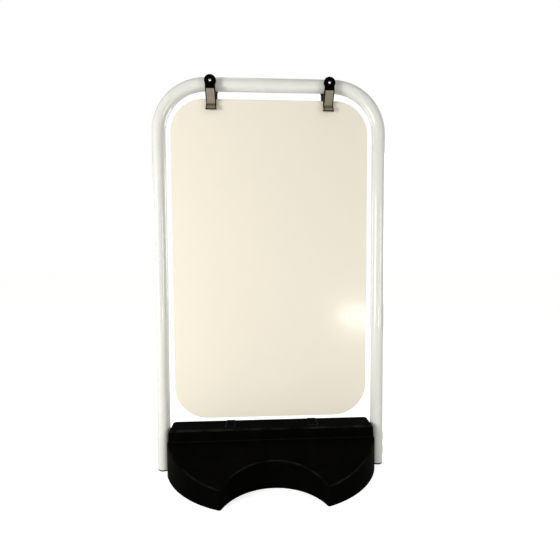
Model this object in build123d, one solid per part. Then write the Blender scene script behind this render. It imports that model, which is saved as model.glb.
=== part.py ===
from build123d import *
import math
import os

# Swinging pavement sign, in millimetres: X runs across the sign, -Y is its front, Z is up.
# The origin is on the floor, under the middle of the frame.

# Hoop, bent from one round tube
tube_diameter = 30.0
tube_wall = 1.5
leg_spacing = 515.0  # between the centres of the two legs
rail_height = 905.0  # centre of the top rail
bend_radius = 110.0  # of the tube's centre line

# Moulded caps in the leg ends
cap_rim = 3.5
cap_plug_length = 16.0
cap_wall = 2.0
cap_edge = 1.2
cap_clearance = 0.05

# Hanging panel
panel_thickness = 3.0
panel_corner = 78.0
panel_edge = 0.5
panel_side_gap = 12.5
panel_top_gap = 18.5
panel_bottom_gap = 17.5

# Moulded base: a spine between the legs, and a front and a rear pair of lobes round a hollow
base_depth = 343.0  # over the tips of the lobes
base_end_width = 76.0
spine_height = 104.0
spine_top_width = 54.0
spine_root_width = 69.0  # where it meets the lobes
spine_end_round = 9.0
spine_edge_round = 7.0
rib_spacing = 198.0  # between the two low ribs over the spine's top
rib_width = 24.0
rib_height = 2.5
lobe_root_height = 79.0
lobe_tip_height = 41.0
lobe_radius = 230.0
tip_spacing = 218.0
tip_round = 4.5
hollow_reach = 98.5  # from the base's middle to the hollow's nearest point
lobe_rim_round = 3.5

# Screws that hold the legs to the ends of the base, with a threaded insert for each
screw_heights = (32.0, 66.0)
screw_diameter = 8.0
screw_length = 30.0
screw_head_diameter = 14.0
screw_head = 4.5
screw_key = 5.0
screw_key_depth = 2.6
screw_clearance = 0.05
insert_diameter = 13.0
insert_length = 33.0
insert_bore_length = 29.0
access_hole_diameter = 16.0
plug_rim_diameter = 19.0
plug_rim = 1.2
plug_depth = 4.0
plug_clearance = 0.05

# Spring clips that hang the panel from the rail: two moulded levers, each faced with a steel strip
clip_spacing = 271.0
head_drop = 2.3  # from the rail's centre down to the centre of the round heads
head_radius = 13.4
head_thickness = 5.2
head_round = 1.5
neck_length = 17.8  # from the centre of a head down to its foot
squeeze_room = 10.8  # from the rail to the middle of a lever's blade at the head
lever_width = 22.8
blade = 3.0
blade_round = 2.4
cheek = 2.0
cheek_gap = 0.3  # between the nested levers' cheeks
cheek_round = 4.6  # round the pivot
panel_clearance = 1.0  # between a cheek and the panel
jaw_drop = 12.5  # from the panel's top edge to the line where the jaws bite
lip_reach = 6.5
lip_drop = 7.5
lip_skirt = 7.0
lip_width = 25.8
strip = 1.0
strip_width = 18.1
strip_proud = 0.25
strip_margin = 1.5  # of lever below the strip
pad_thickness = 1.6
pad_height = 9.0
pivot_gap = 10.5  # from the rail's underside to the pivot's centre
pivot_diameter = 4.0
pivot_clearance = 0.05
pivot_head_diameter = 7.0
pivot_head = 1.2
spacer_diameter = 6.6
rivet_diameter = 4.0
rivet_clearance = 0.05
rivet_head_diameter = 6.4
rivet_head = 1.7
rivet_tail_diameter = 6.6
rivet_tail = 1.0
bow_width = 14.0
bow_strip = 0.8
bow_shoulder = 12.5
bow_tab = 9.0  # below the rivet's centre
bow_rail_gap = 0.3
bow_side_gap = 0.1

# Places that follow from the sizes
tube_radius = tube_diameter / 2
bore_radius = tube_radius - tube_wall
leg_x = leg_spacing / 2
base_half = leg_x - tube_radius
panel_width = leg_spacing - tube_diameter - 2 * panel_side_gap
panel_top = rail_height - tube_radius - panel_top_gap
panel_bottom = spine_height + panel_bottom_gap
pivot_height = rail_height - tube_radius - pivot_gap
head_height = rail_height - head_drop
neck_foot = head_height - neck_length
jaw_height = panel_top - jaw_drop
lever_offset = tube_radius + squeeze_room
jaw_offset = panel_thickness / 2 + pad_thickness + blade / 2
head_back = lever_offset - head_thickness / 2
head_front = lever_offset + head_thickness / 2
cheek_insets = {"front": 0.0, "rear": cheek + cheek_gap}
sides = {"left": -1, "right": 1}


def along_x(outline, low, high):
    """Solid of an outline drawn as (y, z), between two values of x."""
    return extrude(Plane.YZ.offset(low) * outline, high - low, dir=(1, 0, 0))


def along_y(outline, low, high):
    """Solid of an outline drawn as (x, z), between two values of y."""
    return extrude(Plane.XZ.offset(-low) * outline, high - low, dir=(0, 1, 0))


def rod_x(radius, low, high, y, z):
    return along_x(Pos(y, z) * Circle(radius), low, high)


def rod_y(radius, low, high, x, z):
    return along_y(Pos(x, z) * Circle(radius), low, high)


def edges_at(shape, names, places, tolerance=0.1):
    """Edges whose middle stands at one of the places, read on the two named coordinates."""
    found = []
    for edge in shape.edges():
        here = [getattr(edge @ 0.5, name) for name in names]
        if any(math.dist(here, place) < tolerance for place in places):
            found.append(edge)
    return found


def flat_rims(plate):
    """Edges of the front and the rear face of an upright plate."""
    front, *_, rear = plate.faces().sort_by(Axis.Y)
    return front.edges() + rear.edges()


def at_screws(solid):
    """Copies of a solid, made along +X with its place on the right leg, for every leg screw."""
    return [
        Rot(0, 0, 0 if side > 0 else 180) * Pos(0, 0, height) * solid
        for side in sides.values()
        for height in screw_heights
    ]


def cut_all(solid, tools):
    for tool in tools:
        solid -= tool
    return solid


def frame_hoop():
    corners = [(-leg_x, 0, cap_rim), (-leg_x, 0, rail_height), (leg_x, 0, rail_height), (leg_x, 0, cap_rim)]
    path = FilletPolyline(*corners, radius=bend_radius)
    ring = Plane(origin=corners[0]) * (Circle(tube_radius) - Circle(bore_radius))
    hoop = sweep(ring, path=path)
    screw_hole = rod_x(screw_diameter / 2 + screw_clearance, base_half - 1, leg_x, 0, 0)
    access_hole = rod_x(access_hole_diameter / 2, leg_x, leg_x + tube_diameter, 0, 0)
    return cut_all(hoop, at_screws(screw_hole) + at_screws(access_hole))


def leg_cap(side):
    plug_radius = bore_radius - cap_clearance
    cap = Pos(0, 0, cap_rim / 2) * Cylinder(tube_radius, cap_rim)
    cap = fillet(cap.edges().filter_by(GeomType.CIRCLE).sort_by(Axis.Z)[0], cap_edge)
    ring = Circle(plug_radius) - Circle(plug_radius - cap_wall)
    plug = extrude(Plane.XY.offset(cap_rim) * ring, cap_plug_length)
    return Pos(side * leg_x, 0, 0) * (cap + plug)


def base_outline():
    end = Vector(base_half, -base_end_width / 2)
    tip = Vector(tip_spacing / 2, -base_depth / 2)
    flipped = lambda point: Vector(-point.X, point.Y)
    front = RadiusArc(end, tip, lobe_radius)
    front += ThreePointArc(tip, (0, -hollow_reach), flipped(tip))
    front += RadiusArc(flipped(tip), flipped(end), lobe_radius)
    half = make_face(front + Polyline(flipped(end), (-base_half, 0), (base_half, 0), end))
    return half + mirror(half, Plane.XZ)


def base_block():
    root = spine_root_width / 2
    reach = base_depth / 2
    fall = (lobe_root_height - lobe_tip_height) / (reach - root)
    past_tip = reach + tip_round
    low = lobe_tip_height - fall * tip_round
    roof = [(-past_tip, low), (-root, lobe_root_height), (root, lobe_root_height), (past_tip, low)]
    under_roof = along_x(Polygon((-past_tip, 0), *roof, (past_tip, 0), align=None), -leg_x, leg_x)
    lobes = extrude(base_outline(), spine_height) & under_roof
    tips = [(x * tip_spacing / 2, y * reach) for x in (-1, 1) for y in (-1, 1)]
    lobes = fillet(edges_at(lobes, "XY", tips), tip_round)
    rims = [edge for edge in lobes.edges() if abs((edge @ 0.5).X) < 1 and (edge @ 0.5).Z > lobe_tip_height]
    lobes = fillet([edge for edge in rims if abs((edge @ 0.5).Y) > root + 1], lobe_rim_round)

    top = spine_top_width / 2
    flank = [(-root, 0), (-root, lobe_root_height), (-top, spine_height)]
    section = Polygon(*flank, *[(-y, z) for y, z in reversed(flank)], align=None)
    spine = along_x(section, -base_half, base_half)
    ends = [(side * base_half, spine_height) for side in sides.values()]
    spine = fillet(edges_at(spine, "XZ", ends), spine_end_round)
    spine = fillet(spine.faces().sort_by(Axis.Z)[-1].edges().filter_by(Axis.X), spine_edge_round)
    crown = top - spine_edge_round
    rib_top = rib_width / 2 - rib_height
    rib = Polygon(
        (-rib_width / 2, spine_height - rib_height),
        (-rib_width / 2, spine_height),
        (-rib_top, spine_height + rib_height),
        (rib_top, spine_height + rib_height),
        (rib_width / 2, spine_height),
        (rib_width / 2, spine_height - rib_height),
        align=None,
    )
    for side in sides.values():
        spine += Pos(side * rib_spacing / 2, 0, 0) * along_y(rib, -crown, crown)
    bore = rod_x(insert_diameter / 2, base_half - insert_length, leg_x, 0, 0)
    return cut_all(lobes + spine, at_screws(bore))


def hanging_panel():
    middle = (panel_top + panel_bottom) / 2
    outline = Pos(0, middle) * RectangleRounded(panel_width, panel_top - panel_bottom, panel_corner)
    panel = along_y(outline, -panel_thickness / 2, panel_thickness / 2)
    return fillet(flat_rims(panel), panel_edge)


def leg_screw():
    seat = leg_x - math.sqrt(bore_radius**2 - (screw_head_diameter / 2) ** 2)
    screw = rod_x(screw_diameter / 2, seat - screw_length, seat, 0, 0)
    head = rod_x(screw_head_diameter / 2, seat, seat + screw_head, 0, 0)
    head = fillet(head.edges().filter_by(GeomType.CIRCLE).sort_by(Axis.X)[-1], screw_head / 3)
    hexagon = RegularPolygon(screw_key / 2, 6, major_radius=False)
    return screw + (head - along_x(hexagon, seat + screw_head - screw_key_depth, leg_x))


def leg_insert():
    insert = rod_x(insert_diameter / 2, base_half - insert_length, base_half, 0, 0)
    return insert - rod_x(screw_diameter / 2 + screw_clearance, base_half - insert_bore_length, leg_x, 0, 0)


def leg_plug():
    """Flush plug for an access hole, its rim shaped to the outside of the tube."""
    hole = access_hole_diameter / 2 - plug_clearance
    plug = rod_x(hole, leg_x + tube_radius - plug_depth, leg_x + tube_radius + plug_rim, 0, 0)
    rim = rod_x(plug_rim_diameter / 2, leg_x, leg_x + tube_radius + plug_rim, 0, 0)
    outside = Pos(leg_x, 0, 0) * Cylinder(tube_radius, 2 * plug_rim_diameter)
    shell = Pos(leg_x, 0, 0) * Cylinder(tube_radius + plug_rim, 2 * plug_rim_diameter)
    return (plug + (rim - outside)) & shell


def blade_points():
    """Corners of the middle line of a front lever's blade, as (y, z) from its head down to the lip."""
    lip = jaw_height - lip_drop
    return [
        (-lever_offset, head_height),
        (-lever_offset, neck_foot),
        (-jaw_offset, jaw_height),
        (-jaw_offset - lip_reach, lip),
        (-jaw_offset - lip_reach, lip - lip_skirt),
    ]


def blade_line():
    return FilletPolyline(*blade_points(), radius=blade_round)


def in_front(line):
    """Face, as (y, z), of everything in front of a line that runs down the sign."""
    top, foot = line @ 0, line @ 1
    far = -2 * lever_offset
    back = Polyline((foot.X, foot.Y), (far, foot.Y), (far, top.Y), (top.X, top.Y))
    return make_face([*line.edges(), *back.edges()])


def front_view(width, foot_width, top, foot):
    """Straight-sided outline, as (x, z), which widens down the skirt of the lip."""
    half, wide = width / 2, foot_width / 2
    right = [(half, top), (half, jaw_height - lip_drop), (wide, foot)]
    return make_face(Polyline(*right, *[(-x, z) for x, z in reversed(right)], close=True))


def clip_strip():
    """Steel strip let into the front of a lever, from the foot of its head to the lip."""
    line = blade_line()
    face = blade / 2 + strip_proud
    skin, core = (along_x(trace(line, 2 * depth), -lip_width, lip_width) for depth in (face, face - strip))
    skin = (skin & along_x(in_front(line), -lip_width, lip_width)) - core
    flare = strip_width + lip_width - lever_width
    outline = front_view(strip_width, flare, neck_foot, (line @ 1).Y + strip_margin)
    return skin & along_y(outline, -2 * lever_offset, 0)


def lever_cheek(side, inset):
    """Side wall of a front lever, which carries it on the pivot pin."""
    clear = panel_thickness / 2 + panel_clearance
    points = blade_points()
    plate = make_face(Polyline(
        points[1],
        points[2],
        (-clear - pad_thickness, jaw_height),
        (-clear, panel_top),
        (0, pivot_height - cheek_round),
        (0, pivot_height + cheek_round),
        (-head_back, neck_foot + cheek_round),
        (-lever_offset, neck_foot + cheek_round),
        close=True,
    ))
    outline = plate + Pos(0, pivot_height) * Circle(cheek_round)
    outer = lever_width / 2 - inset
    low, high = sorted((side * outer, side * (outer - cheek)))
    return along_x(outline, low, high)


def clip_lever(inset, strip_solid):
    """Moulded lever about x = 0: a round head, a sloping blade, a V jaw and a wider lip."""
    line = blade_line()
    ribbon = along_x(trace(line, blade), -lip_width, lip_width)
    outline = front_view(lever_width, lip_width, head_height, (line @ 1).Y)
    lever = ribbon & along_y(outline, -2 * lever_offset, 0)
    neck = Pos(0, (head_height + neck_foot) / 2) * Rectangle(lever_width, neck_length)
    head = along_y(neck + Pos(0, head_height) * Circle(head_radius), -head_front, -head_back)
    lever += fillet(flat_rims(head), head_round)
    for side in sides.values():
        lever += lever_cheek(side, inset)
    lever -= rod_x(pivot_diameter / 2 + pivot_clearance, -lever_width, lever_width, 0, pivot_height)
    return lever - strip_solid - rod_y(rivet_diameter / 2 + rivet_clearance, -2 * lever_offset, 0, 0, head_height)


def clip_rivet():
    """Domed rivet through a lever's head and the bow's tab."""
    tab_back = head_back - bow_side_gap - bow_strip
    shank = rod_y(rivet_diameter / 2, -head_front, -tab_back, 0, head_height)
    tail = rod_y(rivet_tail_diameter / 2, -tab_back, -tab_back + rivet_tail, 0, head_height)
    dome_radius = ((rivet_head_diameter / 2) ** 2 + rivet_head**2) / (2 * rivet_head)
    ball = Pos(0, -head_front - rivet_head + dome_radius, head_height) * Sphere(dome_radius)
    return shank + tail + (ball & rod_y(rivet_head_diameter, -2 * lever_offset, -head_front, 0, head_height))


def jaw_pad(lever, inset):
    """Soft pad between a lever's jaw and the face of the panel."""
    low, high = jaw_height - pad_height / 2, jaw_height + pad_height / 2
    block = make_face(Polyline(
        (-panel_thickness / 2, low),
        (-panel_thickness / 2, high),
        (-lever_offset, high),
        (-lever_offset, low),
        close=True,
    ))
    half = lever_width / 2 - inset - cheek - panel_clearance
    return along_x(block, -half, half) - along_x(in_front(blade_line()), -half, half) - lever


def pivot_pin():
    reach = lever_width / 2 + pivot_clearance
    pin = rod_x(pivot_diameter / 2, -reach, reach, 0, pivot_height)
    for low, high in ((-reach - pivot_head, -reach), (reach, reach + pivot_head)):
        head = rod_x(pivot_head_diameter / 2, low, high, 0, pivot_height)
        outer = head.faces().sort_by(Axis.X)[0 if low < 0 else -1]
        pin += fillet(outer.edges(), pivot_head / 2)
    return pin


def pivot_spacer():
    half = lever_width / 2 - cheek_insets["rear"] - cheek - cheek_gap
    tube = rod_x(spacer_diameter / 2, -half, half, 0, pivot_height)
    return tube - rod_x(pivot_diameter / 2 + pivot_clearance, -half, half, 0, pivot_height)


def bow_spring():
    """Spring strip over the rail, which carries the clip and pushes the two heads apart."""
    tab = head_back - bow_side_gap - bow_strip / 2
    crown = rail_height + tube_radius + bow_rail_gap + bow_strip / 2
    foot = head_height - bow_tab
    arch = FilletPolyline((-tab, foot), (-tab, crown), (tab, crown), (tab, foot), radius=bow_shoulder)
    band = along_x(trace(arch, bow_strip), -bow_width / 2, bow_width / 2)
    return band - rod_y(rivet_diameter / 2 + rivet_clearance, -2 * tab, 2 * tab, 0, head_height)


def clip_half(inset):
    steel = clip_strip()
    lever = clip_lever(inset, steel)
    return {"lever": lever, "steel_strip": steel, "rivet": clip_rivet(), "jaw_pad": jaw_pad(lever, inset)}


def sign_parts():
    parts = {
        "frame_hoop": frame_hoop(),
        "base_block": base_block(),
        "hanging_panel": hanging_panel(),
        "leg_screws": Compound(at_screws(leg_screw())),
        "leg_inserts": Compound(at_screws(leg_insert())),
        "leg_plugs": Compound(at_screws(leg_plug())),
    }
    for name, side in sides.items():
        parts[f"leg_cap_{name}"] = leg_cap(side)
    middle = {"pivot_pin": pivot_pin(), "pivot_spacer": pivot_spacer(), "bow_spring": bow_spring()}
    places = {name: Pos(side * clip_spacing / 2, 0, 0) for name, side in sides.items()}
    for name, place in places.items():
        for piece, solid in middle.items():
            parts[f"{piece}_{name}"] = place * solid
    for face, inset in cheek_insets.items():
        for piece, solid in clip_half(inset).items():
            facing = solid if face == "front" else mirror(solid, Plane.XZ)
            for name, place in places.items():
                parts[f"{face}_{piece}_{name}"] = place * facing
    return parts


os.makedirs("parts", exist_ok=True)
for node, solid in sign_parts().items():
    export_step(solid, f"parts/{node}.step")
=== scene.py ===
import bpy
import bmesh
import math
from mathutils import Matrix, Vector


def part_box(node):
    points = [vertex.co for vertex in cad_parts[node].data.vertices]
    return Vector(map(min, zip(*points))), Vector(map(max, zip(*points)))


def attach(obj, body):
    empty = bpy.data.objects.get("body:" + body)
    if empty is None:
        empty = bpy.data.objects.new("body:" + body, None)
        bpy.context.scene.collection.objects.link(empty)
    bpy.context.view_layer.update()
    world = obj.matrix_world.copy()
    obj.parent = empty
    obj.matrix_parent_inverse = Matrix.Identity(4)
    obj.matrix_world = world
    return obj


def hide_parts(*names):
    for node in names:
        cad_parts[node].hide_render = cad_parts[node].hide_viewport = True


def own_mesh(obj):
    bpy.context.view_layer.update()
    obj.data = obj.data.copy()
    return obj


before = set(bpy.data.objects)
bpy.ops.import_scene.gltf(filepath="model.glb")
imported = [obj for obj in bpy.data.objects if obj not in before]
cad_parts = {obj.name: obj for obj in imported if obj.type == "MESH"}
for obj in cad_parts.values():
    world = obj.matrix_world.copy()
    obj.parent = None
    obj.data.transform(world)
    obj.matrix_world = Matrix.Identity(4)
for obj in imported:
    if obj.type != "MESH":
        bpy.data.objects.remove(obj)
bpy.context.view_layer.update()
sideNames = ("left", "right")
faceNames = ("front", "rear")


def deselectAll():
    bpy.ops.object.select_all(action="DESELECT")


# Shared surface effects. Each is a node group that reads Object coordinates inside itself.

effectSet = {
    # each noise: its octaves of detail, its roughness
    "grainNoise": (3.0, 0.55),
    "toneNoise": (2.0, 0.5),
    "edgeWearAndPaintedLightNoise": (4.0, 0.65),
    "dustNoise": (5.0, 0.6),
    "rimNoise": (4.0, 0.6),
    "bevelSamples": 4,
    "maskGain": 5.0,         # how soon an edge mark or a painted rim highlight reaches its full share
    "rimThreshold": 0.42,    # noise below this leaves a rim untouched
    "dustFocus": 2.0,        # higher keeps dust to the flattest faces
}


def newGroup(name, inputs, outputs):
    group = bpy.data.node_groups.new(name, "ShaderNodeTree")
    for label, kind, value in inputs:
        socket = group.interface.new_socket(name=label, in_out="INPUT", socket_type=kind)
        socket.default_value = value
    for label, kind in outputs:
        group.interface.new_socket(name=label, in_out="OUTPUT", socket_type=kind)
    return group, group.nodes.new("NodeGroupInput"), group.nodes.new("NodeGroupOutput")


def addMath(tree, operation, first, second=None, clamp=False):
    node = tree.nodes.new("ShaderNodeMath")
    node.operation = operation
    node.use_clamp = clamp
    for socket, value in zip(node.inputs, (first, second)):
        if isinstance(value, bpy.types.NodeSocket):
            tree.links.new(value, socket)
        elif value is not None:
            socket.default_value = value
    return node.outputs[0]


def addNoise(tree, place, size, detail, rough):
    # a noise whose features are about as wide as the size that reaches the group
    noise = tree.nodes.new("ShaderNodeTexNoise")
    tree.links.new(place, noise.inputs["Vector"])
    tree.links.new(addMath(tree, "DIVIDE", 1.0, size), noise.inputs["Scale"])
    noise.inputs["Detail"].default_value = detail
    noise.inputs["Roughness"].default_value = rough
    return noise.outputs["Fac"]


def objectPlace(tree):
    return tree.nodes.new("ShaderNodeTexCoord").outputs["Object"]


def addMask(tree, share, given, made):
    mask = addMath(tree, "MULTIPLY", share, given, clamp=True)
    tree.links.new(mask, made.inputs["Mask"])


def makeSpeckle():
    # fine texture of a moulding or a paint film: a height and a soft tone, both about 0.5
    group, given, made = newGroup(
        "speckle",
        (("Size", "NodeSocketFloat", 0.002), ("Patch Size", "NodeSocketFloat", 0.12),
         ("Stretch", "NodeSocketVector", (1, 1, 1))),
        (("Height", "NodeSocketFloat"), ("Tone", "NodeSocketFloat")),
    )
    mapping = group.nodes.new("ShaderNodeMapping")
    group.links.new(objectPlace(group), mapping.inputs["Vector"])
    group.links.new(given.outputs["Stretch"], mapping.inputs["Scale"])
    place = mapping.outputs["Vector"]
    fine = addNoise(group, place, given.outputs["Size"], *effectSet["grainNoise"])
    broad = addNoise(group, place, given.outputs["Patch Size"], *effectSet["toneNoise"])
    group.links.new(fine, made.inputs["Height"])
    group.links.new(broad, made.inputs["Tone"])
    return group


def makeEdgeWearAndPaintedLightMask():
    # where an outside edge is marked: rubbed wear on most looks, a painted shade line on the panel, a painted
    # highlight on the base; 0 on flat faces, up to 1 along the edges, broken up by a noise
    group, given, made = newGroup(
        "edgeWearAndPaintedLightMask",
        (("Width", "NodeSocketFloat", 0.001), ("Breakup Size", "NodeSocketFloat", 0.01),
         ("Strength", "NodeSocketFloat", 1.0)),
        (("Mask", "NodeSocketFloat"),),
    )
    bevel = group.nodes.new("ShaderNodeBevel")
    bevel.samples = effectSet["bevelSamples"]
    group.links.new(given.outputs["Width"], bevel.inputs["Radius"])
    geometry = group.nodes.new("ShaderNodeNewGeometry")
    bend = group.nodes.new("ShaderNodeVectorMath")
    bend.operation = "DOT_PRODUCT"
    group.links.new(bevel.outputs["Normal"], bend.inputs[0])
    group.links.new(geometry.outputs["Normal"], bend.inputs[1])
    turned = addMath(group, "SUBTRACT", 1.0, bend.outputs["Value"], clamp=True)
    edge = addMath(group, "MULTIPLY", turned, effectSet["maskGain"], clamp=True)
    broken = addNoise(group, objectPlace(group), given.outputs["Breakup Size"], *effectSet["edgeWearAndPaintedLightNoise"])
    addMask(group, addMath(group, "MULTIPLY", edge, broken), given.outputs["Strength"], made)
    return group


def makeSettledDust():
    # dust that lies on faces which look up, thicker in patches
    group, given, made = newGroup(
        "settledDust",
        (("Patch Size", "NodeSocketFloat", 0.05), ("Amount", "NodeSocketFloat", 0.2)),
        (("Mask", "NodeSocketFloat"),),
    )
    geometry = group.nodes.new("ShaderNodeNewGeometry")
    split = group.nodes.new("ShaderNodeSeparateXYZ")
    group.links.new(geometry.outputs["Normal"], split.inputs[0])
    upward = addMath(group, "MAXIMUM", split.outputs["Z"], 0.0)
    flat = addMath(group, "POWER", upward, effectSet["dustFocus"])
    patches = addNoise(group, objectPlace(group), given.outputs["Patch Size"], *effectSet["dustNoise"])
    addMask(group, addMath(group, "MULTIPLY", flat, patches), given.outputs["Amount"], made)
    return group


def makePaintedRimHighlight():
    # outer rims and rounded edges that lean between level and upright, painted lighter as a highlight
    group, given, made = newGroup(
        "rimPolish",
        (("Lean Low", "NodeSocketFloat", 0.4), ("Lean High", "NodeSocketFloat", 0.93),
         ("Breakup Size", "NodeSocketFloat", 0.02), ("Strength", "NodeSocketFloat", 1.0)),
        (("Mask", "NodeSocketFloat"),),
    )
    split = group.nodes.new("ShaderNodeSeparateXYZ")
    group.links.new(group.nodes.new("ShaderNodeTexCoord").outputs["Normal"], split.inputs[0])
    above = addMath(group, "GREATER_THAN", split.outputs["Z"], given.outputs["Lean Low"])
    below = addMath(group, "LESS_THAN", split.outputs["Z"], given.outputs["Lean High"])
    leaning = addMath(group, "MULTIPLY", above, below)
    broken = addNoise(group, objectPlace(group), given.outputs["Breakup Size"], *effectSet["rimNoise"])
    raised = addMath(group, "SUBTRACT", broken, effectSet["rimThreshold"])
    patchy = addMath(group, "MULTIPLY", raised, effectSet["maskGain"], clamp=True)
    addMask(group, addMath(group, "MULTIPLY", leaning, patchy), given.outputs["Strength"], made)
    return group


speckle = makeSpeckle()
rimPolish = makePaintedRimHighlight()
edgeWearAndPaintedLightMask = makeEdgeWearAndPaintedLightMask()
settledDust = makeSettledDust()
print("shared effects made")


# Materials. Each starts from one Principled shader; the parts below are what their recipes share.

def newMaterial(name, values):
    material = bpy.data.materials.new(name)
    material.use_nodes = True
    shader = material.node_tree.nodes["Principled BSDF"]
    for label, value in values.items():
        shader.inputs[label].default_value = (*value, 1) if isinstance(value, tuple) else value
    return material.node_tree, shader, material


def placeGroup(tree, group, **values):
    node = tree.nodes.new("ShaderNodeGroup")
    node.node_tree = group
    for label, value in values.items():
        node.inputs[label.replace("_", " ")].default_value = value
    return node.outputs


def mixColours(tree, mask, first, second):
    firstColour, secondColour, result = 6, 7, 2      # the colour sockets of a Mix node, by number
    mix = tree.nodes.new("ShaderNodeMix")
    mix.data_type = "RGBA"
    tree.links.new(mask, mix.inputs["Factor"])
    for socket, value in ((mix.inputs[firstColour], first), (mix.inputs[secondColour], second)):
        if isinstance(value, bpy.types.NodeSocket):
            tree.links.new(value, socket)
        else:
            socket.default_value = (*value, 1)
    return mix.outputs[result]


def spreadValue(tree, mask, low, high):
    # turns a 0 to 1 mask into a value between low and high
    return addMath(tree, "ADD", addMath(tree, "MULTIPLY", mask, high - low), low)


def addBump(tree, shader, height, distance, strength=1.0):
    bump = tree.nodes.new("ShaderNodeBump")
    bump.inputs["Strength"].default_value = strength
    bump.inputs["Distance"].default_value = distance
    tree.links.new(height, bump.inputs["Height"])
    tree.links.new(bump.outputs["Normal"], shader.inputs["Normal"])


def addEdgeWearAndPaintedLight(tree, look):
    return placeGroup(
        tree, edgeWearAndPaintedLightMask, Width=look["edgeWearAndPaintedLightWidth"], Breakup_Size=look["edgeWearAndPaintedLightBreakup"], Strength=look["edgeWearAndPaintedLight"])


def wearMaterial(name, look):
    # colour drifts between two tones, and changes along the edges, on leaning rims and where dust has
    # settled; the edge change is rubbed wear on most looks, a painted shade line on the panel and a painted
    # highlight on the base, and the rim change is a painted highlight
    tree, shader, material = newMaterial(name, look["shader"])
    grain = placeGroup(tree, speckle, Size=look["grainSize"], Patch_Size=look["patchSize"])
    edgeWearAndPaintedLight = addEdgeWearAndPaintedLight(tree, look)
    dust = placeGroup(tree, settledDust, Patch_Size=look["dustPatch"], Amount=look["dust"])
    tone = mixColours(tree, grain["Tone"], look["colour"], look["secondColour"])
    # along the edges: rubbed wear on most looks, a painted shade line on the panel, a painted highlight on
    # the base
    worn = mixColours(tree, edgeWearAndPaintedLight["Mask"], tone, look["edgeWearAndPaintedLightColour"])
    if "rim" in look:
        # on rims that lean, the edge colour again as a painted highlight
        rim = placeGroup(tree, rimPolish, Breakup_Size=look["rimBreakup"], Strength=look["rim"])
        worn = mixColours(tree, rim["Mask"], worn, look["edgeWearAndPaintedLightColour"])
    tree.links.new(mixColours(tree, dust["Mask"], worn, look["dustColour"]), shader.inputs["Base Color"])
    rough = spreadValue(tree, grain["Tone"], *look["roughness"])
    dull = addMath(tree, "ADD", rough, addMath(tree, "MULTIPLY", dust["Mask"], look["dustDulls"]), clamp=True)
    tree.links.new(dull, shader.inputs["Roughness"])
    addBump(tree, shader, grain["Height"], look["grainHeight"])
    return material


powderCoatLook = {
    "shader": {"Specular IOR Level": 0.5, "Coat Weight": 0.6, "Coat Roughness": 0.06, "Coat IOR": 1.5},
    "colour": (0.72, 0.72, 0.675), "secondColour": (0.69, 0.69, 0.645),
    "roughness": (0.22, 0.32),
    "grainSize": 0.0016, "grainHeight": 0.00003, "patchSize": 0.16,     # orange peel
    "edgeWearAndPaintedLight": 0.35, "edgeWearAndPaintedLightWidth": 0.0008, "edgeWearAndPaintedLightBreakup": 0.006, "edgeWearAndPaintedLightColour": (0.62, 0.61, 0.58),
    "dust": 0.10, "dustPatch": 0.03, "dustColour": (0.62, 0.60, 0.55), "dustDulls": 0.5,
}
creamPanelLook = {
    "shader": {"Specular IOR Level": 0.5, "Coat Weight": 0.5, "Coat Roughness": 0.14},
    "colour": (0.80, 0.745, 0.625), "secondColour": (0.775, 0.72, 0.60),
    "roughness": (0.30, 0.38),
    "grainSize": 0.0009, "grainHeight": 0.000012, "patchSize": 0.30,
    # a grey line painted round the edge as shade, the dark band a lit sheet's edge shows
    "edgeWearAndPaintedLight": 0.9, "edgeWearAndPaintedLightWidth": 0.0035, "edgeWearAndPaintedLightBreakup": 0.05, "edgeWearAndPaintedLightColour": (0.52, 0.50, 0.44),
    "dust": 0.25, "dustPatch": 0.02, "dustColour": (0.60, 0.57, 0.50), "dustDulls": 0.4,
}
blackMouldingLook = {
    "shader": {"Specular IOR Level": 0.004, "Diffuse Roughness": 0.6},
    "colour": (0.0002, 0.0002, 0.0002), "secondColour": (0.0026, 0.0026, 0.0019),
    "roughness": (0.42, 0.55),
    "grainSize": 0.0011, "grainHeight": 0.00007, "patchSize": 0.05,     # moulded leather-like grain
    # along the edges a lighter colour than the moulding: a painted highlight
    "edgeWearAndPaintedLight": 1.0, "edgeWearAndPaintedLightWidth": 0.0030, "edgeWearAndPaintedLightBreakup": 0.012, "edgeWearAndPaintedLightColour": (0.022, 0.022, 0.019),
    # the rims that lean get the lighter edge colour as a painted highlight
    "rim": 0.65, "rimBreakup": 0.06,
    "dust": 0.004, "dustPatch": 0.025, "dustColour": (0.30, 0.29, 0.26), "dustDulls": 3.0,
}
clipPlasticLook = {
    "shader": {"Specular IOR Level": 0.015},
    "colour": (0.001, 0.001, 0.001), "secondColour": (0.002, 0.002, 0.0018),
    "roughness": (0.24, 0.34),
    "grainSize": 0.0006, "grainHeight": 0.00001, "patchSize": 0.01,
    "edgeWearAndPaintedLight": 0.2, "edgeWearAndPaintedLightWidth": 0.0005, "edgeWearAndPaintedLightBreakup": 0.003, "edgeWearAndPaintedLightColour": (0.02, 0.02, 0.018),
    "dust": 0.01, "dustPatch": 0.004, "dustColour": (0.25, 0.24, 0.22), "dustDulls": 2.0,
}
capPlasticLook = dict(clipPlasticLook, **{
    "roughness": (0.40, 0.50), "edgeWearAndPaintedLight": 0.8, "edgeWearAndPaintedLightColour": (0.05, 0.05, 0.045),
})
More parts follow.
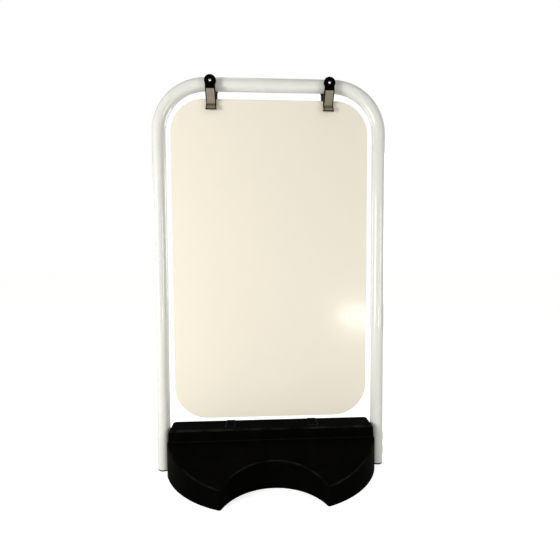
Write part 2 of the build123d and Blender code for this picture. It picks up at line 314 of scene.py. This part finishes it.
# near-black steel for the pivot pins: painted shade for the shaded gap between the levers
pinShadeLook = dict(clipPlasticLook, **{
    "shader": {"Metallic": 0.6, "Specular IOR Level": 0.1}, "roughness": (0.35, 0.5),
    "colour": (0.006, 0.006, 0.006), "secondColour": (0.010, 0.010, 0.009), "edgeWearAndPaintedLightColour": (0.10, 0.10, 0.095),
})
padRubberLook = dict(clipPlasticLook, **{
    "shader": {"Specular IOR Level": 0.25}, "roughness": (0.65, 0.8),
    "colour": (0.012, 0.012, 0.012), "secondColour": (0.02, 0.02, 0.019),
})
plugPlasticLook = dict(powderCoatLook, **{
    "shader": {"Specular IOR Level": 0.5}, "roughness": (0.36, 0.46),
    "colour": (0.76, 0.755, 0.715), "secondColour": (0.73, 0.725, 0.69),
})


def metalMaterial(name, look):
    # bare metal: fine lines where the stretch is uneven, patchy tarnish and brighter edges
    tree, shader, material = newMaterial(name, look["shader"])
    patch = look["patchSize"]
    lines = placeGroup(tree, speckle, Size=look["lineSize"], Patch_Size=patch, Stretch=look["along"])
    cloud = placeGroup(tree, speckle, Size=look["cloudSize"], Patch_Size=patch)
    edgeWearAndPaintedLight = addEdgeWearAndPaintedLight(tree, look)
    tone = mixColours(tree, cloud["Tone"], look["colour"], look["secondColour"])
    tree.links.new(mixColours(tree, edgeWearAndPaintedLight["Mask"], tone, look["edgeWearAndPaintedLightColour"]), shader.inputs["Base Color"])
    half = 0.5
    streak = addMath(tree, "MULTIPLY", addMath(tree, "ADD", lines["Height"], cloud["Height"]), half)
    tree.links.new(spreadValue(tree, streak, *look["roughness"]), shader.inputs["Roughness"])
    addBump(tree, shader, lines["Height"], look["lineHeight"])
    return material


nickelLook = {
    "shader": {"Metallic": 1.0},
    "colour": (0.34, 0.31, 0.225), "secondColour": (0.40, 0.37, 0.28), "edgeWearAndPaintedLightColour": (0.62, 0.60, 0.54),
    "roughness": (0.24, 0.46),
    "lineSize": 0.0003, "lineHeight": 0.000006, "along": (1, 0.06, 0.06),   # brushed down the lever
    "cloudSize": 0.002, "patchSize": 0.008, "edgeWearAndPaintedLight": 1.0, "edgeWearAndPaintedLightWidth": 0.0003, "edgeWearAndPaintedLightBreakup": 0.004,
}
springSteelLook = dict(nickelLook, **{
    "colour": (0.30, 0.30, 0.29), "secondColour": (0.36, 0.355, 0.34),
    "along": (1, 0.05, 0.05), "roughness": (0.30, 0.45),
})
zincLook = dict(nickelLook, **{
    "colour": (0.50, 0.49, 0.46), "secondColour": (0.58, 0.57, 0.53),
    "along": (1, 1, 1), "roughness": (0.28, 0.42), "lineSize": 0.001,
})
rivetLook = dict(nickelLook, **{
    "colour": (0.66, 0.65, 0.62), "secondColour": (0.74, 0.73, 0.70),
    "along": (1, 1, 1), "roughness": (0.10, 0.22), "lineSize": 0.0008, "lineHeight": 0.000002,
})

nodeLooks = {
    "frame_hoop": wearMaterial("whitePowderCoat", powderCoatLook),
    "leg_plugs": wearMaterial("whitePlugPlastic", plugPlasticLook),
    "hanging_panel": wearMaterial("creamPanelSheet", creamPanelLook),
    "base_block": wearMaterial("blackMoulding", blackMouldingLook),
}
zincSteel = metalMaterial("zincSteel", zincLook)
polishedRivet = metalMaterial("polishedRivet", rivetLook)
capPlastic = wearMaterial("blackCapPlastic", capPlasticLook)
clipPlastic = wearMaterial("blackClipPlastic", clipPlasticLook)
nickelSteel = metalMaterial("nickelSteel", nickelLook)
springSteel = metalMaterial("springSteel", springSteelLook)
padRubber = wearMaterial("padRubber", padRubberLook)
# near-black pin steel, a painted shade for the gap between the levers
pinShadeSteel = wearMaterial("pinShadeSteel", pinShadeLook)
nodeLooks["leg_screws"] = nodeLooks["leg_inserts"] = zincSteel
for side in sideNames:
    nodeLooks[f"leg_cap_{side}"] = capPlastic
    nodeLooks[f"pivot_pin_{side}"] = pinShadeSteel
    nodeLooks[f"pivot_spacer_{side}"] = zincSteel
    for face in faceNames:
        nodeLooks[f"{face}_lever_{side}"] = clipPlastic
        nodeLooks[f"{face}_steel_strip_{side}"] = nickelSteel
        nodeLooks[f"{face}_rivet_{side}"] = polishedRivet
        nodeLooks[f"{face}_jaw_pad_{side}"] = padRubber
for node, material in nodeLooks.items():
    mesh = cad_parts[node].data
    mesh.materials.clear()
    mesh.materials.append(material)
print("materials made for", len(nodeLooks), "nodes")


# Bow springs: a bent steel strip over the rail for each clip, its tabs rounded and riveted to the two heads

bowSpring = {
    "thickness": 0.0008,
    "shoulder": 0.0125,       # bend radius at the middle of the strip
    "shoulderSteps": 12,
    "tabSteps": 10,
    "edgeRound": 0.00018,
    "edgeSteps": 2,
    "pickWithin": 0.00001,    # how near the outline an edge is pulled down
    "mergeWithin": 0.000001,
    "smoothAngle": 40,        # degrees
    "squashKeep": 0.78,       # share of its depth left when the heads are squeezed
}


def extrudeUp(rise):
    bpy.ops.mesh.extrude_region_move(TRANSFORM_OT_translate={"value": (0, 0, rise)})


def addBowSpring(side, values):
    low, high = (Vector(corner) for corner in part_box(f"bow_spring_{side}"))
    middle, half = (low + high) / 2, (high - low) / 2
    shell = values["thickness"] / 2
    depth = half.y - shell                                 # from the middle out to a tab's centre
    edge = depth - values["shoulder"]                      # from the middle out to where a shoulder begins
    shoulderHeight = high.z - shell - values["shoulder"]
    foot = low.z + half.x                                  # centre height of a tab's round end
    quarter = math.radians(90)
    deselectAll()
    # the crown: a flat plane whose front and rear edges are pulled down round the shoulders
    bpy.ops.mesh.primitive_plane_add(size=1, location=(middle.x, 0, high.z - shell))
    strip = bpy.context.object
    strip.name = f"bowSpring.{side}"
    strip.scale = (2 * half.x, 2 * edge, 1)
    bpy.ops.object.transform_apply(location=True, rotation=True, scale=True)
    strip.data.name = strip.name
    bpy.ops.object.mode_set(mode="EDIT")
    bpy.ops.mesh.select_mode(type="EDGE")
    for way in (-1, 1):
        mesh = bmesh.from_edit_mesh(strip.data)
        bpy.ops.mesh.select_all(action="DESELECT")
        for line in mesh.edges:
            line.select = all(way * vertex.co.y > edge - values["pickWithin"] for vertex in line.verts)
        bmesh.update_edit_mesh(strip.data)
        centre = (middle.x, way * edge, shoulderHeight)
        bpy.ops.mesh.spin(steps=values["shoulderSteps"], angle=quarter, center=centre, axis=(-way, 0, 0))
        extrudeUp(foot - shoulderHeight)
        # the tab's end narrows row by row to a half circle
        turn, wide = 0.0, 1.0
        for step in range(1, values["tabSteps"]):
            angle = quarter * step / values["tabSteps"]
            extrudeUp(-half.x * (math.sin(angle) - turn))
            share = math.cos(angle) / wide
            bpy.ops.transform.resize(value=(share, 1, 1), center_override=(middle.x, way * depth, foot))
            turn, wide = math.sin(angle), math.cos(angle)
    bpy.ops.mesh.select_all(action="SELECT")
    bpy.ops.mesh.remove_doubles(threshold=values["mergeWithin"])
    bpy.ops.mesh.normals_make_consistent(inside=False)
    bpy.ops.object.mode_set(mode="OBJECT")
    thicken = strip.modifiers.new("thicken", "SOLIDIFY")
    thicken.thickness, thicken.offset = values["thickness"], 0
    soften = strip.modifiers.new("soften", "BEVEL")
    soften.width, soften.segments = values["edgeRound"], values["edgeSteps"]
    soften.limit_method = "ANGLE"
    for modifier in (thicken.name, soften.name):
        bpy.ops.object.modifier_apply(modifier=modifier)
    bpy.ops.object.shade_smooth_by_angle(angle=math.radians(values["smoothAngle"]))
    strip.data.materials.append(springSteel)
    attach(strip, "sign")
    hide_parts(f"bow_spring_{side}")
    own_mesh(strip)


for side in sideNames:
    addBowSpring(side, bowSpring)
print("bow springs bent")


# Camera

cameraSet = {
    "place": (-0.0307, -0.9366, 0.4965),
    "turn": 0.0558,     # to the right of straight ahead, radians
    "tilt": -0.0479,    # below level
    "roll": -0.0042,
    "lens": 25.28,      # mm
    "sensor": 36,       # mm
    "nearest": 0.01,    # the closest thing it sees
}


def addCamera(values):
    turn, tilt, roll = values["turn"], values["tilt"], values["roll"]
    ahead = Vector((math.sin(turn) * math.cos(tilt), math.cos(turn) * math.cos(tilt), math.sin(tilt)))
    level = Vector((math.cos(turn), -math.sin(turn), 0))
    above = level.cross(ahead)
    across = level * math.cos(roll) + above * math.sin(roll)
    upward = above * math.cos(roll) - level * math.sin(roll)
    facing = Matrix((across, upward, -ahead)).transposed().to_4x4()
    bpy.ops.object.camera_add()
    camera = bpy.context.object
    camera.matrix_world = Matrix.Translation(values["place"]) @ facing
    camera.data.lens = values["lens"]
    camera.data.sensor_width = values["sensor"]
    camera.data.clip_start = values["nearest"]
    bpy.context.scene.camera = camera


addCamera(cameraSet)
print("camera placed")


# Studio: a pale floor, soft panels of light and a white surround

studio = {
    "floorSize": 40.0, "floorColour": (0.80, 0.80, 0.795), "floorRough": 0.9, "floorShine": 0.1,
    "floorGlow": 0.86, "whiteBehind": 1.0,      # seen by the camera only
    "surround": 0.38,                           # light that falls from all round
    # place, aimed at, size across, size up, power in watts, colour
    "lights": {
        "keyLight": ((-1.5, -1.15, 0.5), (0.0, 0.0, 0.5), 0.5, 0.9, 27.0, (1.0, 0.99, 0.96)),
        "fillLight": ((1.6, -1.5, 0.4), (0.0, 0.0, 0.45), 0.7, 1.0, 13.0, (0.98, 0.99, 1.0)),
        "topLight": ((-0.15, 0.30, 2.3), (-0.1, 0.0, 0.9), 0.28, 0.2, 1.3, (1.0, 1.0, 0.98)),
        "rearKey": ((1.4, 1.4, 0.7), (0.0, 0.0, 0.5), 0.7, 1.0, 15.0, (1.0, 0.99, 0.97)),
        "rearFill": ((-1.5, 1.5, 0.5), (0.0, 0.0, 0.5), 0.7, 1.0, 9.0, (0.98, 0.99, 1.0)),
        "lowLight": ((0.72, -2.0, 0.02), (0.2, 0.0, 0.34), 0.26, 0.26, 4.4, (1.0, 0.99, 0.95)),
    },
}


def addFloor(values):
    deselectAll()
    bpy.ops.mesh.primitive_plane_add(size=values["floorSize"], location=(0, 0, 0))
    floor = bpy.context.object
    floor.name = "paleFloor"
    tree, shader, material = newMaterial("paleFloor", {
        "Base Color": values["floorColour"], "Emission Color": values["floorColour"],
        "Roughness": values["floorRough"], "Specular IOR Level": values["floorShine"],
    })
    path = tree.nodes.new("ShaderNodeLightPath")
    glow = addMath(tree, "MULTIPLY", path.outputs["Is Camera Ray"], values["floorGlow"])
    tree.links.new(glow, shader.inputs["Emission Strength"])
    floor.data.materials.append(material)


def addLight(name, place, aim, across, tall, power, colour):
    bpy.ops.object.light_add(type="AREA", location=place)
    light = bpy.context.object
    light.name = name
    light.rotation_euler = (Vector(aim) - Vector(place)).to_track_quat("-Z", "Y").to_euler()
    light.data.shape = "RECTANGLE"
    light.data.size = across
    light.data.size_y = tall
    light.data.energy = power
    light.data.color = colour


def addSurround(values):
    world = bpy.data.worlds.new("whiteSurround")
    bpy.context.scene.world = world
    world.use_nodes = True
    tree = world.node_tree
    light = tree.nodes["Background"]
    light.inputs["Color"].default_value = (1, 1, 1, 1)
    path = tree.nodes.new("ShaderNodeLightPath")
    brighter = values["whiteBehind"] - values["surround"]
    behind = addMath(tree, "MULTIPLY", path.outputs["Is Camera Ray"], brighter)
    tree.links.new(addMath(tree, "ADD", behind, values["surround"]), light.inputs["Strength"])


addFloor(studio)
for name, light in studio["lights"].items():
    addLight(name, *light)
addSurround(studio)
bpy.context.scene.view_settings.view_transform = "Standard"
print("studio set up")
